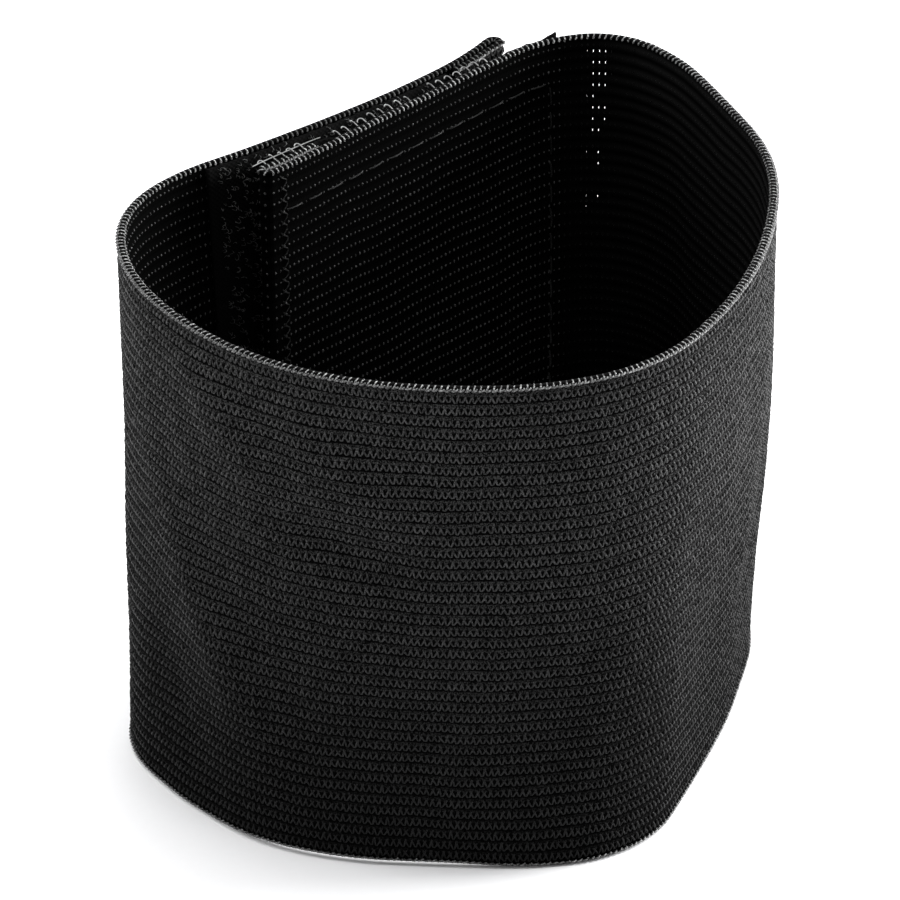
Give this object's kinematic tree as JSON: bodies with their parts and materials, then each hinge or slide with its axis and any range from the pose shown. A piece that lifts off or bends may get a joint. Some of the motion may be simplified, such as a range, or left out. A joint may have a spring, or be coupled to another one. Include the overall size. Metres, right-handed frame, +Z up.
{
  "type": "mourning armband",
  "caption": "Wide ribbed elastic armband closed to a loop by hook-and-loop tape, standing on its lower edge.",
  "frame": {"origin": "the middle of the armband's box, on the surface that its lower edge stands on", "axes": "+Z up across the band's width, +Y away from the plain front towards the rear bend, +X to the right seen from the front; the closure is at the left rear"},
  "size_m": [0.0972, 0.109, 0.08],
  "materials": {
    "ribbed_elastic": "matt ribbed knit with a faint sheen along the ribs",
    "hook_tape": "woven tape with glossy filament hooks",
    "loop_tape": "brushed loop pile, very dull"
  },
  "bodies": {
    "root": {"elastic_band": "ribbed_elastic", "hook_patch": "hook_tape", "loop_patch": "loop_tape"}
  },
  "joints": []
}
